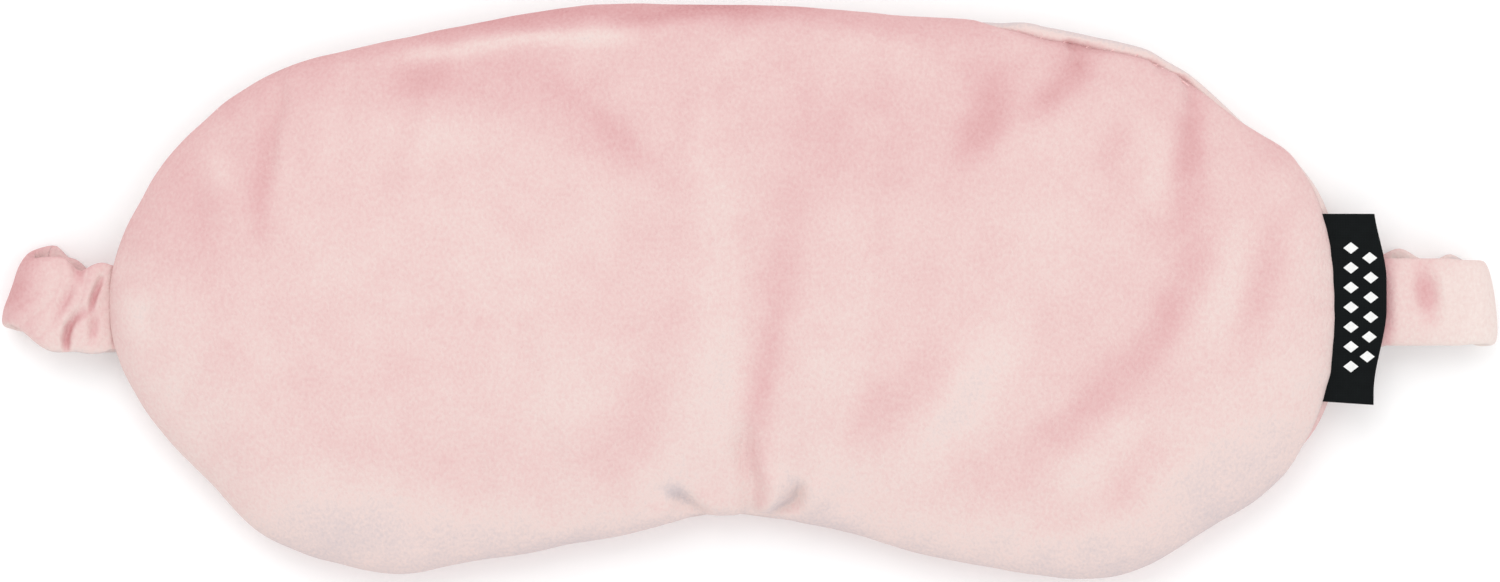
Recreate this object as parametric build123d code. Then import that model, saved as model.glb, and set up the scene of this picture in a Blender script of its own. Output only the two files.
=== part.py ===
from build123d import *
import math
import os

# Eye pillow: a padded velvet mask with a nose notch, a covered elastic strap sewn into both side
# seams and tucked behind the mask, and a folded woven tab in the right side seam.
# It lies on its back: +X to the right of its front, +Y to the forehead, +Z up out of the front.
# The origin is under the nose notch, on the surface that it lies on. All sizes are millimetres.

# ---- driving dimensions -------------------------------------------------------------------------
SEAM_Z = 7.5  # height of the seam between the two covers
FRONT_RISE = 9.0  # crown of the front cover above the seam
EDGE_ROLL = 14.0  # how far in from the seam the rounded edge reaches
VELVET = 1.0  # thickness of the velvet covers
EASE = 0.3  # gap between the padding and the covers
ALLOWANCE = 7.0  # depth of the seam allowance, measured in from the seam
ALLOWANCE_LOW = 0.2  # the allowances lie this far to this far on each side of the lining
ALLOWANCE_HIGH = 1.0
LINING_THICKNESS = 0.36
LINING_INSET = 1.1
FRONT_PAD_START = 2.2  # height above the seam where the front wadding begins
BACK_PAD_START = 1.7  # depth below the seam where the back wadding begins

STRAP_Y = -2.0  # centre line of the strap
STRAP_WIDTH = 16.4
STRAP_THICKNESS = 3.4
STRAP_WALL = 0.8  # velvet casing of the strap
STRAP_REACH = 129.3  # the two folds of the strap lie this far from the middle
ELASTIC_WIDTH = 12.5
ELASTIC_THICKNESS = 1.2
GROOVE_SIDE_GAP = 0.5  # room beside the strap in the back of the mask
GROOVE_TOP_GAP = 0.5  # room above the strap in the back of the mask
SEAM_GAP = 0.4  # between the end of the moving strap and the side seam

TAIL_HALF = 1.0  # half the thickness of the strap end that is sewn into the seam
TAIL_FIT = 0.05  # gap round each sewn-in end
POCKET_REACH = 2.0  # the room for a sewn-in end opens this far past the seam
ELASTIC_TAIL_THICKNESS = 0.8

LABEL_Y = (-18.9, 13.3)  # ends of the side label
LABEL_REACH = 109.4  # outer fold of the side label
LABEL_TAPE = 0.3  # thickness of one layer of the woven tape
LABEL_HALF = 0.4  # half the thickness of the folded label
LABEL_HINGE = (101.25, 9.85)  # x and z of the line that the label flips about
LABEL_TAIL_Z = (1.1, 1.6)  # the sewn-in part of the label, above the seam
MOTIF_COLUMNS = [(103.4, 7), (106.8, 6)]  # x of each column of diamonds, and how many it has
MOTIF_PITCH = 3.4
MOTIF_SIZE = (2.6, 2.0)
MOTIF_THICKNESS = 0.12

THREAD = 0.36  # diameter of the sewing thread
THREAD_GAP = 0.12
STITCH_PITCH = 4.0
STITCH_LENGTH = 3.0
STITCH_INSET = 2.0
STRAP_STITCH_LENGTH = 2.4
TACK_INSET = 4.0  # middle of the bar tacks, in from the seam

# Seam line of the mask seen from the front, starting at the right and going round over the forehead.
SEAM_OUTLINE = [
    (100.4, -3.0),
    (99.0, 11.8),
    (95.2, 21.4),
    (90.8, 26.0),
    (86.0, 28.8),
    (76.0, 37.6),
    (62.0, 43.6),
    (44.0, 46.7),
    (24.0, 47.9),
    (8.0, 49.4),
    (-8.0, 49.6),
    (-24.0, 49.7),
    (-44.0, 47.2),
    (-66.0, 42.6),
    (-82.0, 38.1),
    (-95.0, 29.1),
    (-103.6, 19.0),
    (-108.2, 8.6),
    (-109.6, -2.0),
    (-107.4, -15.2),
    (-99.2, -27.4),
    (-91.0, -35.8),
    (-84.8, -41.8),
    (-74.0, -46.4),
    (-58.0, -48.8),
    (-47.2, -46.7),
    (-37.0, -45.3),
    (-27.0, -43.1),
    (-18.0, -41.6),
    (-9.0, -38.9),
    (3.0, -39.4),
    (13.0, -40.8),
    (26.0, -44.6),
    (40.0, -47.6),
    (56.5, -49.7),
    (67.4, -48.2),
    (77.8, -41.9),
    (87.0, -36.6),
    (95.4, -27.2),
    (99.0, -17.0),
]
RING_POINTS = 56
ROLL_ANGLES = (0, 30, 62, 90)  # sections of the rounded edge, from the seam to the crown


# ---- the padded mask ----------------------------------------------------------------------------
SEAM = Spline(*[(x, y, 0) for x, y in SEAM_OUTLINE], periodic=True)


def ring_point(share, inset):
    """A point of the seam line, moved in towards the middle of the mask."""
    place, along = SEAM @ share, SEAM % share
    return place.X - along.Y * inset, place.Y + along.X * inset


def outline_face(inset, z):
    """The seam outline as a flat face, drawn in by inset, at height z."""
    ring = [ring_point(i / RING_POINTS, inset) for i in range(RING_POINTS)]
    edge = Spline(*[(x, y, z) for x, y in ring], periodic=True)
    return Face(Wire([edge]))


def dome(inset, roll, rise, upward, start=0.0):
    """A pillow half: it rolls from the seam to a flat crown, and begins start above the seam."""
    first = math.degrees(math.asin(start / rise))
    angles = [first + (90 - first) * angle / 90 for angle in ROLL_ANGLES]
    sign = 1 if upward else -1
    sections = [
        outline_face(
            inset + roll * (1 - math.cos(math.radians(a))),
            SEAM_Z + sign * rise * math.sin(math.radians(a)),
        )
        for a in angles
    ]
    return loft(sections)


def plate(inset, low, high):
    """A flat sheet with the seam's outline drawn in by inset, between two heights."""
    return extrude(outline_face(inset, low), high - low, dir=(0, 0, 1))


def block(x, y, z):
    """A box between two values on each axis."""
    size = [b - a for a, b in (x, y, z)]
    middle = [(a + b) / 2 for a, b in (x, y, z)]
    return Pos(*middle) * Box(*size)


def groove(extra):
    """Room for the strap under the mask, grown by extra on its sides and top."""
    half = STRAP_WIDTH / 2 + GROOVE_SIDE_GAP + extra
    top = STRAP_THICKNESS + GROOVE_TOP_GAP + extra
    return block((-150, 150), (STRAP_Y - half, STRAP_Y + half), (-5, top))


def allowance(upward):
    """The seam allowance, a flat ring turned in between the two halves of the padding."""
    low, high = (ALLOWANCE_LOW, ALLOWANCE_HIGH) if upward else (-ALLOWANCE_HIGH, -ALLOWANCE_LOW)
    ring = plate(VELVET / 2, SEAM_Z + low, SEAM_Z + high)
    return ring - plate(ALLOWANCE, SEAM_Z + low - 1, SEAM_Z + high + 1)


def seam_x(right, y):
    """Where the left or right side seam crosses a line of constant y."""
    cuts = [point.X for point in SEAM.find_intersection_points(Line((-150, y, 0), (150, y, 0)))]
    return max(cuts) if right else min(cuts)


def tail_block(right, half_width, half_thickness, reach):
    """A flat block in the side seam, from the depth of the allowance to reach outside the seam."""
    edge = seam_x(right, STRAP_Y)
    ends = (edge - ALLOWANCE, edge + reach) if right else (edge - reach, edge + ALLOWANCE)
    return block(
        ends,
        (STRAP_Y - half_width, STRAP_Y + half_width),
        (SEAM_Z - half_thickness, SEAM_Z + half_thickness),
    )


def tail_pocket(right):
    """The room between the covers for a strap end."""
    return tail_block(right, STRAP_WIDTH / 2 + TAIL_FIT, TAIL_HALF + TAIL_FIT, POCKET_REACH)


def label_block(grow, reach):
    """A thin block in the right seam for the label's sewn-in end, grown by grow."""
    edge = seam_x(True, STRAP_Y)
    return block(
        (edge - ALLOWANCE, edge + reach),
        (LABEL_Y[0] - grow, LABEL_Y[1] + grow),
        (SEAM_Z + LABEL_TAIL_Z[0] - grow, SEAM_Z + LABEL_TAIL_Z[1] + grow),
    )


def pockets():
    """Every pocket that the strap ends and the label's end need in the seam."""
    return [tail_pocket(False), tail_pocket(True), label_block(TAIL_FIT, POCKET_REACH)]


def without(shape, cutters):
    """The shape with each cutter taken away."""
    for cutter in cutters:
        shape = shape - cutter
    return shape


def front_cover():
    skin = dome(0, EDGE_ROLL, FRONT_RISE, True)
    skin -= dome(VELVET, EDGE_ROLL - VELVET, FRONT_RISE - VELVET, True)
    return without(skin + allowance(True), pockets())


def back_cover():
    skin = dome(0, EDGE_ROLL, SEAM_Z, False) - groove(0)
    skin -= dome(VELVET, EDGE_ROLL - VELVET, SEAM_Z - VELVET, False) - groove(VELVET)
    return without(skin + allowance(False), pockets())


def front_wadding():
    inset = VELVET + EASE
    return dome(inset, EDGE_ROLL - inset, FRONT_RISE - inset, True, FRONT_PAD_START)


def back_wadding():
    inset = VELVET + EASE
    pad = dome(inset, EDGE_ROLL - inset, SEAM_Z - inset, False, BACK_PAD_START)
    return pad - groove(inset)


def blackout_lining():
    half = LINING_THICKNESS / 2
    sheet = plate(LINING_INSET, SEAM_Z - half, SEAM_Z + half)
    return without(sheet, [tail_pocket(False), tail_pocket(True)])


# ---- sewing thread ------------------------------------------------------------------------------
def stitch(place, angle, length, z):
    """One stitch: a short straight piece of thread lying at height z."""
    return Pos(place[0], place[1], z) * Rot(0, 0, angle) * Rot(0, 90, 0) * Cylinder(THREAD / 2, length)


def seam_stitches(z, skip):
    """A row of stitches right round the seam, except where skip says that an end is sewn in."""
    count = round(SEAM.length / STITCH_PITCH)
    row = []
    for i in range(count):
        share = (i + 0.5) / count
        place = ring_point(share, STITCH_INSET)
        along = SEAM % share
        if not skip(*place):
            row.append(stitch(place, math.degrees(math.atan2(along.Y, along.X)), STITCH_LENGTH, z))
    return Compound(children=row)


def at_strap_end(x, y):
    return abs(y - STRAP_Y) < STRAP_WIDTH / 2 + STITCH_LENGTH and abs(x) > 80


def at_sewn_end(x, y):
    beside_label = LABEL_Y[0] - STITCH_LENGTH < y < LABEL_Y[1] + STITCH_LENGTH
    return at_strap_end(x, y) or (x > 80 and beside_label)


def needle_thread():
    return seam_stitches(SEAM_Z + ALLOWANCE_HIGH + THREAD_GAP + THREAD / 2, at_sewn_end)


def bobbin_thread():
    return seam_stitches(SEAM_Z - ALLOWANCE_HIGH - THREAD_GAP - THREAD / 2, at_strap_end)


def closing_stitches():
    """Upright stitches over the forehead seam, which close the gap that the mask was turned through."""
    count, first, last, length = 9, 0.099, 0.158, 1.8
    outside = -(THREAD / 2 + THREAD_GAP)
    row = []
    for i in range(count):
        x, y = ring_point(first + (last - first) * i / (count - 1), outside)
        row.append(Pos(x, y, SEAM_Z) * Cylinder(THREAD / 2, length))
    return Compound(children=row)


def tack(right):
    """A bar tack: short stitches side by side, across the sewn-in strap end."""
    count, spacing = 9, 1.7
    edge = seam_x(right, STRAP_Y)
    x = edge - TACK_INSET if right else edge + TACK_INSET
    z = SEAM_Z - TAIL_HALF - TAIL_FIT - THREAD_GAP - THREAD / 2
    ys = [STRAP_Y + spacing * (i - (count - 1) / 2) for i in range(count)]
    return Compound(children=[stitch((x, y), 0, STITCH_LENGTH, z) for y in ys])


# ---- the strap ----------------------------------------------------------------------------------
def strap_path():
    """Out of the left seam, round its fold, under the mask, and back into the right seam."""
    low = STRAP_THICKNESS / 2
    bend = (SEAM_Z - low) / 2
    fold = STRAP_REACH - bend - low
    middle = SEAM_Z - bend
    left = seam_x(False, STRAP_Y) - SEAM_GAP
    right = seam_x(True, STRAP_Y) + SEAM_GAP

    def at(x, z):
        return (x, STRAP_Y, z)

    return Wire(
        [
            Line(at(left, SEAM_Z), at(-fold, SEAM_Z)),
            ThreePointArc(at(-fold, SEAM_Z), at(-fold - bend, middle), at(-fold, low)),
            Line(at(-fold, low), at(fold, low)),
            ThreePointArc(at(fold, low), at(fold + bend, middle), at(fold, SEAM_Z)),
            Line(at(fold, SEAM_Z), at(right, SEAM_Z)),
        ]
    )


def band(width, thickness, corner):
    """A flat band with rounded edges that follows the strap's path."""
    path = strap_path()
    start = path @ 0
    section = Plane(origin=start, x_dir=(0, 1, 0), z_dir=path % 0) * RectangleRounded(
        width, thickness, corner
    )
    return sweep(section, path=path)


def strap_cover():
    inner_width = STRAP_WIDTH - 2 * STRAP_WALL
    inner_thickness = STRAP_THICKNESS - 2 * STRAP_WALL
    return band(STRAP_WIDTH, STRAP_THICKNESS, 1.6) - band(inner_width, inner_thickness, 0.85)


def strap_elastic():
    return band(ELASTIC_WIDTH, ELASTIC_THICKNESS, 0.5)


def strap_seam_thread():
    """The row of stitches inside the casing that closes it into a tube, beside the elastic."""
    path = strap_path()
    count = round(path.length / STITCH_PITCH)
    y = STRAP_Y + (ELASTIC_WIDTH / 2 + STRAP_WIDTH / 2 - STRAP_WALL) / 2
    row = []
    for i in range(count):
        share = (i + 0.5) / count
        place, along = path @ share, path % share
        slope = math.degrees(math.atan2(along.X, along.Z))
        thread = Cylinder(THREAD / 2, STRAP_STITCH_LENGTH)
        row.append(Pos(place.X, y, place.Z) * Rot(0, slope, 0) * thread)
    return Compound(children=row)


def elastic_tail(right, grow=0.0):
    """The flat end of the elastic inside a sewn-in strap end, grown by grow."""
    half_thickness = ELASTIC_TAIL_THICKNESS / 2 + grow
    return tail_block(right, ELASTIC_WIDTH / 2 + grow, half_thickness, 0)


def strap_tail(right):
    """The flattened end of the strap's casing, sewn into the side seam."""
    return tail_block(right, STRAP_WIDTH / 2, TAIL_HALF, 0) - elastic_tail(right, TAIL_FIT)


# ---- the side label -----------------------------------------------------------------------------
def label_profile():
    """Section of the folded tape: two layers joined by a round fold at the outer edge."""
    x, z = LABEL_HINGE
    inner = LABEL_HALF - LABEL_TAPE
    straight = LABEL_REACH - LABEL_HALF
    outside = Pos((x + 0.2 + straight) / 2, z) * Rectangle(straight - x - 0.2, 2 * LABEL_HALF)
    outside += Pos(straight, z) * Circle(LABEL_HALF)
    inside = Pos((x + straight) / 2, z) * Rectangle(straight - x, 2 * inner)
    inside += Pos(straight, z) * Circle(inner)
    return outside - inside


def side_label():
    profile = Plane(origin=(0, LABEL_Y[1], 0), x_dir=(1, 0, 0), z_dir=(0, -1, 0)) * label_profile()
    return extrude(profile, LABEL_Y[1] - LABEL_Y[0], dir=(0, -1, 0))


def diamond(x, y):
    """One woven diamond on the label's upper face."""
    top = LABEL_HINGE[1] + LABEL_HALF
    half_x, half_y = MOTIF_SIZE[0] / 2, MOTIF_SIZE[1] / 2
    corners = [(x - half_x, y), (x, y - half_y), (x + half_x, y), (x, y + half_y)]
    face = Face(Wire.make_polygon([(a, b, top) for a, b in corners], close=True))
    return extrude(face, MOTIF_THICKNESS, dir=(0, 0, 1))


def label_motif():
    """A plain pattern of woven diamonds: two columns, with the second set half a step along."""
    middle = (LABEL_Y[0] + LABEL_Y[1]) / 2
    diamonds = []
    for x, count in MOTIF_COLUMNS:
        for i in range(count):
            diamonds.append(diamond(x, middle + MOTIF_PITCH * (i - (count - 1) / 2)))
    return Compound(children=diamonds)


def label_tail():
    return label_block(0, 0) & dome(0, EDGE_ROLL, FRONT_RISE, True)


# ---- the nodes ----------------------------------------------------------------------------------
NODES = {
    "front_cover": front_cover,
    "back_cover": back_cover,
    "front_wadding": front_wadding,
    "back_wadding": back_wadding,
    "blackout_lining": blackout_lining,
    "seam_needle_thread": needle_thread,
    "seam_bobbin_thread": bobbin_thread,
    "closing_stitches": closing_stitches,
    "strap_cover": strap_cover,
    "strap_elastic": strap_elastic,
    "strap_seam_thread": strap_seam_thread,
    "strap_tail_left": lambda: strap_tail(False),
    "strap_tail_right": lambda: strap_tail(True),
    "elastic_tail_left": lambda: elastic_tail(False),
    "elastic_tail_right": lambda: elastic_tail(True),
    "strap_tack_left": lambda: tack(False),
    "strap_tack_right": lambda: tack(True),
    "side_label": side_label,
    "label_motif": label_motif,
    "label_tail": label_tail,
}

os.makedirs("parts", exist_ok=True)
for name, make in NODES.items():
    export_step(make(), f"parts/{name}.step")
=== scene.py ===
import math

import bmesh
import bpy
import numpy as np
from mathutils import Matrix, Vector
from mathutils.bvhtree import BVHTree
from mathutils.geometry import delaunay_2d_cdt
from mathutils.kdtree import KDTree


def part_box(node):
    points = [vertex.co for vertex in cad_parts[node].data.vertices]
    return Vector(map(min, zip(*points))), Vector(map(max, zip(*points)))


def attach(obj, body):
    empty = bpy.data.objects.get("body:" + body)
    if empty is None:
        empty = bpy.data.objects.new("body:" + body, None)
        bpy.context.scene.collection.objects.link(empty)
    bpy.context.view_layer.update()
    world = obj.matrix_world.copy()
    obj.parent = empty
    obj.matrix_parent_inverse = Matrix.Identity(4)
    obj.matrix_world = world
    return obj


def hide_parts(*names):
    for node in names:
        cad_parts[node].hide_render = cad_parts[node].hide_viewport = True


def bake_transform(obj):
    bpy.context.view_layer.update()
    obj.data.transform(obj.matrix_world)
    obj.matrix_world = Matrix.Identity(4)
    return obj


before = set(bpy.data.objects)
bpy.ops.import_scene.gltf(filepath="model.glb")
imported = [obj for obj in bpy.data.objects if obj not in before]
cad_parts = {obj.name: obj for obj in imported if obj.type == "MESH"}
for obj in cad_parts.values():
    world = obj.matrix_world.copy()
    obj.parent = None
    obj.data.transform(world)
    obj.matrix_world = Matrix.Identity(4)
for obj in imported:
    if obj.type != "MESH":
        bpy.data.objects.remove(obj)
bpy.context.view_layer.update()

# The looks of a padded velvet eye pillow, built round its CAD frame. All sizes are in metres.
# The front faces up (+Z), the forehead edge is at +Y, and the strap lies under the mask along X.

# ---- places that the frame gives ----------------------------------------------------------------
MASK_LOW, MASK_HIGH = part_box("front_cover")
STRAP_LOW, STRAP_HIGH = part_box("strap_cover")
LABEL_LOW, LABEL_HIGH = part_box("side_label")
SEAM_Z = MASK_LOW.z
CENTRE = (MASK_LOW + MASK_HIGH) / 2
STRAP_Y = (STRAP_LOW.y + STRAP_HIGH.y) / 2
STRAP_HALF = (STRAP_HIGH.y - STRAP_LOW.y) / 2

# ---- the padded body ----------------------------------------------------------------------------
COLUMNS = 340  # points round the seam
FRONT_RINGS = 12  # rows of points over the rounded edge, from the seam to the crown
BACK_RINGS = 11
ROLL = 0.014  # how far in the rounded edge reaches
FILL_SPACING = 0.0021  # between points in the middle of a cover
CROWN_REACH = 0.048  # the padding is at its thickest this far in from the edge
CROWN_POWER = 3.2
FRONT_RISE = MASK_HIGH.z - SEAM_Z
BACK_RISE = 0.0092
VELVET = 0.0009  # thickness of a cover
LINING = 0.00036  # thickness of the blackout cloth
FLOOR_GAP = 0.00005
OUTLINE_RAYS = 1440  # tries for the outline, which start outside the mask
RAY_START = 0.2
STANDS_OUT = 0.00018  # how far the looks' outline stands outside the CAD's cover


def ease(t):
    """0 below 0, 1 above 1, and smooth in between."""
    t = np.clip(t, 0, 1)
    return t * t * (3 - 2 * t)


def hump(distance, width):
    """1 at no distance, falling smoothly away over about width."""
    return np.exp(-((distance / width) ** 2))


def soft_noise(x, y, size, seed):
    """Smooth noise from -1 to 1 in blobs about size across, the same each run."""
    table = np.random.default_rng(seed).uniform(-1, 1, (97, 97))
    u, v = np.asarray(x) / size + 40.3, np.asarray(y) / size + 40.7
    i, j = np.floor(u).astype(int), np.floor(v).astype(int)
    a, b = ease(u - i), ease(v - j)
    i, j, k, l = i % 97, j % 97, (i + 1) % 97, (j + 1) % 97
    low = table[i, j] * (1 - a) + table[k, j] * a
    high = table[i, l] * (1 - a) + table[k, l] * a
    return low * (1 - b) + high * b


def around(values, reach):
    """Values round a closed line, each averaged with reach neighbours on both sides."""
    steps = range(-reach, reach + 1)
    return sum(np.roll(values, step, axis=0) for step in steps) / len(steps)


def unit(vectors, least=0.0):
    """The vectors, each made one long. Those shorter than least stay short."""
    return vectors / np.maximum(np.linalg.norm(vectors, axis=1), least)[:, None]


def distances(line):
    """How far along a line each of its points is."""
    return np.concatenate([[0], np.cumsum(np.linalg.norm(np.diff(line, axis=0), axis=1))])


def between(rows, count, flip=False):
    """The faces between numbered rows of points, where each row is a closed ring of count points."""
    faces = []
    for a, b in zip(rows, rows[1:]):
        for i in range(count):
            j = (i + 1) % count
            face = (a * count + i, a * count + j, b * count + j, b * count + i)
            faces.append(face[::-1] if flip else face)
    return faces


def tube_faces(rings, sides):
    """The faces of a tube of rings, with a flat end on both."""
    last = (rings - 1) * sides
    ends = [tuple(range(sides))[::-1], tuple(range(last, last + sides))]
    return between(range(rings), sides) + ends


def doubled(faces, kept):
    """The faces of a skin made of the kept points, of a second layer inside it, and of their rim."""
    count = len(kept)
    place = {k: i for i, k in enumerate(kept)}
    skin = [tuple(place[k] for k in face) for face in faces]
    inside = [tuple(k + count for k in reversed(face)) for face in skin]
    edges = {(a, b) for face in skin for a, b in zip(face, face[1:] + face[:1])}
    rim = [(b, a, a + count, b + count) for a, b in edges if (b, a) not in edges]
    return skin + inside + rim


def mask_outline():
    """The widest line round the mask seen from the front, at even steps, anticlockwise."""
    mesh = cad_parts["back_cover"].data
    corners = [v.co for v in mesh.vertices]
    tree = BVHTree.FromPolygons(corners, [tuple(p.vertices) for p in mesh.polygons])
    height = SEAM_Z - 0.0012  # just under the seam, where the back cover is at its widest
    found = []
    for turn in np.arange(OUTLINE_RAYS) / OUTLINE_RAYS * math.tau:
        out = Vector((math.cos(turn), math.sin(turn), 0))
        start = Vector((CENTRE.x, CENTRE.y, height)) + out * RAY_START
        found.append(tree.ray_cast(start, -out)[0].xy)
    closed = np.array(found + found[:1])
    along = distances(closed)
    wanted = np.arange(COLUMNS) / COLUMNS * along[-1]
    even = np.stack([np.interp(wanted, along, closed[:, k]) for k in (0, 1)], axis=1)
    forward = unit(around(np.roll(even, -1, axis=0) - np.roll(even, 1, axis=0), 2))
    outward = np.stack([forward[:, 1], -forward[:, 0]], axis=1)
    full = around(fullness(even), 4)
    return even + outward * (STANDS_OUT + full[:, None]), outward


def fullness(line):
    """How much further out than the CAD's seam line the padding pushes the mask's two ends."""
    x, y = line.T
    right_end = ease((x - 0.070) / 0.02) * ease((y + 0.034) / 0.008) * 0.0004
    over_label = ease((x - 0.090) / 0.004) * ease((0.0205 - np.abs(y + 0.0028)) / 0.005) * 0.0016
    over_strap = ease((-0.1 - x) / 0.003) * ease((0.0135 - np.abs(y - STRAP_Y)) / 0.006) * 0.0012
    return right_end + over_label + over_strap + 0.0001


OUTLINE, OUTWARD = mask_outline()


def crown(inset, rise):
    """How far a cover stands from the seam's level, by how far in from the edge."""
    share = np.clip(np.asarray(inset) / CROWN_REACH, 0, 1)
    return rise * np.sqrt(1 - (1 - share) ** CROWN_POWER)


def seam_tilt():
    """Where the seam lies on the rounded edge at each column: above 0 it shows from the front."""
    x, y = OUTLINE.T
    tilt = np.full(COLUMNS, -13.0)  # degrees; out of sight round most of the mask
    at_closing = ease((x - 0.036) / 0.012) * ease((0.094 - x) / 0.014) * (y > 0.02)
    tilt += at_closing * (43 - 18 * ease((x - 0.055) / 0.03))
    at_label = ease((x - 0.094) / 0.003) * (np.abs(y + 0.003) < 0.025)
    tilt += around(at_label, 5) * 33
    at_strap = (x < -0.1) * (np.abs(y - STRAP_Y) < 0.013)
    tilt += around(at_strap.astype(float), 6) * 12
    return np.radians(around(tilt, 3))


SEAM_TILT = seam_tilt()


def fill_points(ring):
    """Points at even spacing inside a ring, in staggered rows."""
    step_y = FILL_SPACING * math.sqrt(3) / 2
    low, high = ring.min(axis=0), ring.max(axis=0)
    rows = []
    for row, y in enumerate(np.arange(low[1], high[1], step_y)):
        start = low[0] + (row % 2) * FILL_SPACING / 2
        rows += [(x, y) for x in np.arange(start, high[0], FILL_SPACING)]
    points = np.array(rows)
    inside = np.zeros(len(points), bool)
    for a, b in zip(ring, np.roll(ring, -1, axis=0)):
        crosses = (a[1] > points[:, 1]) != (b[1] > points[:, 1])
        if a[1] != b[1]:
            at = a[0] + (points[:, 1] - a[1]) / (b[1] - a[1]) * (b[0] - a[0])
            inside ^= crosses & (points[:, 0] < at)
    return points[inside & (edge_distance(points, ring) > FILL_SPACING * 0.7)]


def along_line(places, line):
    """How far each place is from a line, and its share of the way along."""
    reached = distances(line)
    started = reached / reached[-1]
    best = np.full(len(places), 1.0)
    share = np.zeros(len(places))
    for k, (a, b) in enumerate(zip(line, line[1:])):
        run = b - a
        t = np.clip((places - a) @ run / (run @ run), 0, 1)
        away = np.linalg.norm(places - a - t[:, None] * run, axis=1)
        nearer = away < best
        best = np.where(nearer, away, best)
        share = np.where(nearer, started[k] + t * (started[k + 1] - started[k]), share)
    return best, share


def edge_distance(places, ring):
    """How far each place is from a closed line."""
    return along_line(places, np.vstack([ring, ring[:1]]))[0]


def fill_ring(ring):
    """The points inside a ring, and the triangles that join them to it. The ring comes first."""
    inner = fill_points(ring)
    every = [Vector(p) for p in np.vstack([ring, inner])]
    edges = [(i, (i + 1) % len(ring)) for i in range(len(ring))]
    made = delaunay_2d_cdt(every, edges, [], 1, 1e-7)
    source = [origin[0] for origin in made[3]]
    return inner, [[source[k] for k in face] for face in made[2]]


class Body:
    """The points and faces of the two covers. The seam's row comes first, then the front's rows."""

    def __init__(self):
        self.rows = 1 + FRONT_RINGS + BACK_RINGS
        up, down = math.pi / 2 - SEAM_TILT, math.pi / 2 + SEAM_TILT
        turns = [SEAM_TILT]
        turns += [SEAM_TILT + up * k / FRONT_RINGS for k in range(1, FRONT_RINGS + 1)]
        turns += [SEAM_TILT - down * k / BACK_RINGS for k in range(1, BACK_RINGS + 1)]
        self.turn = np.concatenate(turns)
        column = np.tile(np.arange(COLUMNS), self.rows)
        inset = ROLL * (1 - np.cos(self.turn))
        flat = OUTLINE[column] - OUTWARD[column] * inset[:, None]
        inner, triangles = fill_ring(flat[FRONT_RINGS * COLUMNS : (FRONT_RINGS + 1) * COLUMNS])
        deep = edge_distance(inner, OUTLINE)
        inset = np.concatenate([inset, deep, deep])
        side = np.concatenate([np.sign(self.turn), np.ones(len(inner)), -np.ones(len(inner))])
        rise = np.where(side > 0, FRONT_RISE, BACK_RISE)
        height = SEAM_Z + side * crown(inset, rise)
        self.points = np.column_stack([np.vstack([flat, inner, inner]), height])
        ring_count = self.rows * COLUMNS
        front = between(range(FRONT_RINGS + 1), COLUMNS)
        back = between([0, *range(FRONT_RINGS + 1, self.rows)], COLUMNS, True)
        front += self.middle(triangles, FRONT_RINGS, ring_count, False)
        back += self.middle(triangles, self.rows - 1, ring_count + len(inner), True)
        self.front_faces, self.back_faces = front, back

    def middle(self, triangles, row, start, flip):
        """The triangles inside the last row of a cover, whose own points begin at start."""
        faces = []
        for triangle in triangles:
            face = [row * COLUMNS + k if k < COLUMNS else start + k - COLUMNS for k in triangle]
            faces.append(face[::-1] if flip else face)
        return faces

    def faces(self):
        return self.front_faces + self.back_faces


def new_object(name, points, faces):
    mesh = bpy.data.meshes.new(name)
    mesh.from_pydata(np.asarray(points).tolist(), [], [list(face) for face in faces])
    mesh.update()
    made = bpy.data.objects.new(name, mesh)
    bpy.context.scene.collection.objects.link(made)
    return made


def coordinates(mesh):
    flat = np.zeros(len(mesh.vertices) * 3)
    mesh.vertices.foreach_get("co", flat)
    return flat.reshape(-1, 3)


CLOTH = {
    "quality": 5,
    "mass": 0.3,
    "tension_stiffness": 25,
    "compression_stiffness": 25,
    "shear_stiffness": 8,
    "bending_stiffness": 1.2,
    "use_pressure": True,
    "uniform_pressure_force": 2.4,
    "shrink_min": -0.03,
    "shrink_max": -0.03,
}
CLOTH_SCALE = 5.0
CLOTH_FRAMES = 22
SETTLE_SHARE = 0.4  # how much of the cloth's own puckering the covers keep
SETTLE_MOST = 0.002  # and how far it may move them


def simulate(points, faces, held):
    """The body as cloth under the padding's pressure, worked out at a larger scale."""
    cloth = new_object("cloth_trial", points * CLOTH_SCALE, faces)
    group = cloth.vertex_groups.new(name="held")
    for index in np.flatnonzero(held > 0.01):
        group.add([int(index)], float(held[index]), "REPLACE")
    modifier = cloth.modifiers.new("Cloth", "CLOTH")
    for key, setting in CLOTH.items():
        setattr(modifier.settings, key, setting)
    modifier.settings.effector_weights.gravity = 0
    modifier.settings.vertex_group_mass = "held"
    modifier.point_cache.frame_start = 1
    modifier.point_cache.frame_end = CLOTH_FRAMES
    scene = bpy.context.scene
    for number in range(1, CLOTH_FRAMES + 1):
        scene.frame_set(number)
    shown = cloth.evaluated_get(bpy.context.evaluated_depsgraph_get())
    settled = coordinates(shown.data) / CLOTH_SCALE
    scene.frame_set(1)
    bpy.data.objects.remove(cloth)
    moved = (settled - points) * SETTLE_SHARE
    far = np.linalg.norm(moved, axis=1)
    return points + moved * (np.minimum(far, SETTLE_MOST) / np.maximum(far, 1e-9))[:, None]


def lie_down(points):
    """The body settles on the surface under it, and over its strap."""
    shoulder, room, softness = 0.006, 0.0038, 0.0006
    beside = np.abs(points[:, 1] - STRAP_Y) - STRAP_HALF - 0.0006
    under = FLOOR_GAP + room * (1 - ease(beside / shoulder))
    gap = points[:, 2] - under
    points[:, 2] = under + 0.5 * (gap + np.sqrt(gap * gap + softness * softness))
    return points


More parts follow.
